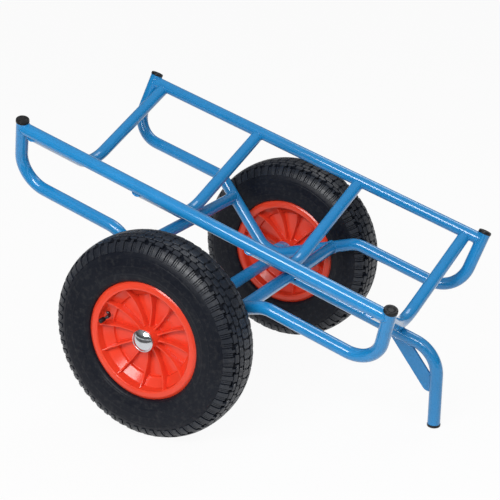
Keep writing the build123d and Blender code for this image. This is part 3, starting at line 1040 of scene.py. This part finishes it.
def hub_cap_outline():
    """Flange, step and dome of the cap, from its brim to the middle of its dome, in metres."""
    corners = [
        (-0.0095, 0.0208), (-0.0095, 0.022, 0.0003), (-0.0080, 0.022, 0.0006),
        (-0.0078, 0.0203, 0.0005), (-0.0070, 0.0197, 0.0006),
    ]
    outline = rounded(corners, steps=3)
    rise, reach = 0.0072, 0.0196
    size = (reach**2 + rise**2) / (2 * rise)
    widest = asin(reach / size)
    for step in range(15):
        angle = widest * (1 - step / 14)
        outline.append(Vector((-(size - size * cos(angle)), size * sin(angle))))
    back = [Vector((p.x - 0.0008, max(0.0, p.y - 0.0006))) for p in outline[4:][::-1]]
    return outline + back


for side, hand in hands[::-1]:
    bm = bmesh.new()
    turned(bm, hub_cap_outline(), 72)
    place = end_of(f"{side}_hub_cap", (0, hand, 0))
    make_piece(f"{side}_hub_cap_dome", bm, chrome, "frame", [f"{side}_hub_cap"], place)

# %% [markdown]
# ## The valves
# The valve is a bent metal stem in a black rubber sleeve, with a screwed-on cap. It comes out of
# the barrel's steep wall, hooks over and points out of the wheel, where a pump can reach it. A
# sweep along a path makes it: rings of points follow the path, and each ring has its own size.


# %% Sweeping along a path
def swept(bm, stages, segments, knurl=0.0):
    """A round section swept along a path of (point, size)."""
    path = [point for point, size in stages]
    rings = []
    side = None
    for place, (point, size) in enumerate(stages):
        ahead = ahead_at(path, place)
        side = square_to(ahead, side)
        around = [size - (knurl if step % 2 else 0) for step in range(segments)]
        rings.append(ring_round(bm, point, side, ahead.cross(side), around))
    join_rings(bm, rings)


valve_turn = radians(-6.0)
valve_lean = radians(20)
valve_out = (
    Vector((0, -1, 0)) * cos(valve_lean)
    + Vector((-sin(valve_turn), 0, cos(valve_turn))) * sin(valve_lean)
)
valve_up = Vector((cos(valve_turn), 0, sin(valve_turn)))


def valve_point(out, up):
    """A point in the valve's own leaning plane, in millimetres."""
    return (valve_out * out + valve_up * up) / 1000


def bend(start, corner, end, radius, steps=8):
    """The points of an arc that rounds a corner between two straight runs."""
    first, second = (start - corner).normalized(), (end - corner).normalized()
    half = first.angle(second) / 2
    centre = corner + (first + second).normalized() * (radius / sin(half))
    reach = radius / tan(half)
    a, b = corner + first * reach - centre, corner + second * reach - centre
    swing = a.angle(b)
    return [
        centre + (a * sin(swing * (1 - t)) + b * sin(swing * t)) / sin(swing)
        for t in (step / steps for step in range(steps + 1))
    ]


stem_base, stem_corner = valve_point(24.5, 94.45), valve_point(17.6, 84.8)
stem_end = valve_point(39, 87.8)
stem_way = (stem_end - stem_corner).normalized()
arc = bend(stem_base, stem_corner, stem_end, 0.0045)


sleeve_size, stem_size, bore_size, thread_size = 0.0035, 0.0031, 0.0026, 0.0030
thread_count = 9


def add_stem(bm):
    """Sleeve, bend, nut and threads, as one sweep of changing size."""
    run = stem_way * (stem_end - arc[-1]).length
    foot = (0.25, sleeve_size), (0.3, stem_size), (0.9, stem_size)
    stages = [(stem_base, sleeve_size)]
    stages += [(stem_base.lerp(arc[0], share), size) for share, size in foot]
    stages += [(point, stem_size) for point in arc]
    nut = [(0.12, sleeve_size), (0.30, sleeve_size), (0.32, 0.0029)]
    beyond = [(0.10, stem_size), *nut, (0.36, bore_size)]
    for thread in range(thread_count):
        for part, size in ((0.0, bore_size), (0.5, thread_size)):
            beyond.append((0.38 + 0.6 * (thread + part) / thread_count, size))
    stages += [(arc[-1] + run * share, size) for share, size in beyond]
    swept(bm, [*stages, (stem_end, bore_size)], 24)


def add_valve_cap(bm):
    """The screwed cap, from (along, size) beyond the stem's end."""
    stages = (
        (-0.0004, 0.0040), (0, 0.0045), (0.0008, 0.00475), (0.0085, 0.00465), (0.0098, 0.0043),
        (0.0107, 0.0036), (0.0110, 0.0025),
    )
    swept(bm, [(stem_end + stem_way * along, size) for along, size in stages], 28, knurl=0.0003)


black_nickel = bright_metal("black_valve_stem", (0.10, 0.10, 0.11), (0.25, 0.4), 0.1)
for side in ("right", "left"):
    bm = bmesh.new()
    add_stem(bm)
    make_piece(
        f"{side}_valve_hook", bm, black_nickel, f"{side}_wheel",
        [f"{side}_valve_stem"], wheel_place[side],
    )
    bm = bmesh.new()
    add_valve_cap(bm)
    make_piece(
        f"{side}_valve_cap", bm, plastic_black, f"{side}_wheel",
        place=wheel_place[side], smooth=50,
    )

# %% [markdown]
# ## Floor and light
# A product is usually lit by large soft boxes in a white room. Three are used here. One in front
# and above draws the thin line along each tube, one from the right fills the tyre's tread, and
# one behind lights the tops. The floor is pale. Its own shading keeps the soft shadow, and the
# part that cameras, mirrors and glass see keeps it near white. A black card lies on the floor in
# front. Only reflections see it, and it hides that part of the floor from them.


# %% Floor, room and lamps
floor_whiteness = 0.94  # where 1 hides the shadow
lamp_target = Vector((0, 0, 0.25))


def pale_floor():
    material = empty_material("pale_floor")
    matt = add_node(material, "BsdfDiffuse", Color=(0.75, 0.75, 0.75, 1)).outputs[0]
    glow = add_node(material, "Emission", Color=(1, 1, 1, 1), Strength=1.0).outputs[0]
    rays = add_node(material, "LightPath").outputs

    def reckon(operation, first, second, clamp=False):
        settings = {"operation": operation, "use_clamp": clamp}
        return add_node(material, "Math", settings, i0=first, i1=second).outputs[0]

    seen = reckon("ADD", rays["Is Camera Ray"], rays["Is Glossy Ray"])
    seen = reckon("ADD", seen, rays["Is Transmission Ray"], clamp=True)
    share = reckon("MULTIPLY", seen, floor_whiteness)
    mix = add_node(material, "MixShader", i0=share, i1=matt, i2=glow)
    add_node(material, "OutputMaterial", Surface=mix.outputs[0])
    return material


def flat_sheet(name, low, high, above, material):
    """A level rectangle of the stage, this far above the foot of the trolley."""
    (x0, y0), (x1, y1) = low, high
    mesh = bpy.data.meshes.new(name)
    corners = [(x0, y0, 0), (x1, y0, 0), (x1, y1, 0), (x0, y1, 0)]
    mesh.from_pydata(corners, [], [(0, 1, 2, 3)])
    mesh.materials.append(material)
    sheet = add_object(name, mesh)
    sheet.location = (0, 0, cad_box[0].z + above)
    return sheet


floor = flat_sheet("floor", (-60, -60), (60, 60), -0.0004, pale_floor())

world = bpy.data.worlds.new("white_room")
scene.world = world
world.use_nodes = True
world.node_tree.nodes.clear()
way = add_node(world, "SeparateXYZ", i0=add_node(world, "TexCoord").outputs["Generated"])
# From the horizon up: a white strip, a dark band that gives gloss its contrast, a pale ceiling
level = add_node(world, "ValToRGB", Fac=way.outputs["Z"])
stops = ((0.03, 0.95), (0.12, 0.05), (0.22, 0.05), (0.72, 0.45))
ramp = level.color_ramp.elements
while len(ramp) < len(stops):
    ramp.new(0.5)
for stop, (height, grey) in zip(ramp, stops):
    stop.position = height
    stop.color = (grey, grey, grey, 1)
room = add_node(world, "Background", Color=level.outputs["Color"])
add_node(world, "OutputWorld", Surface=room.outputs[0])


def soft_box(name, way, distance, size, watts):
    """A rectangular lamp at a distance from the target, in the given direction from it."""
    lamp = bpy.data.lights.new(name, "AREA")
    lamp.shape = "RECTANGLE"
    lamp.size, lamp.size_y = size
    lamp.energy = watts
    box = add_object(name, lamp)
    way = Vector(way).normalized()
    box.location = lamp_target + way * distance
    box.rotation_mode = "QUATERNION"
    box.rotation_quaternion = (-way).to_track_quat("-Z", "Y")


soft_box("front_box", (0.10, -0.83, 0.55), 3.0, (1.75, 0.75), 62)
soft_box("right_box", (0.66, -0.42, 0.62), 3.2, (1.5, 1.8), 11)
soft_box("top_box", (0.10, 0.60, 0.85), 3.0, (1.2, 1.2), 16)

felt, shader = new_material("front_card")
feed(felt, shader, Base_Color=(0.06, 0.06, 0.06, 1), Roughness=0.9)
card = flat_sheet("front_card", (-5, -9), (5, -0.80), 0.003, felt)
for ray in ("camera", "diffuse", "shadow", "transmission", "volume_scatter"):
    setattr(card, f"visible_{ray}", False)
scene.view_settings.view_transform = "Standard"
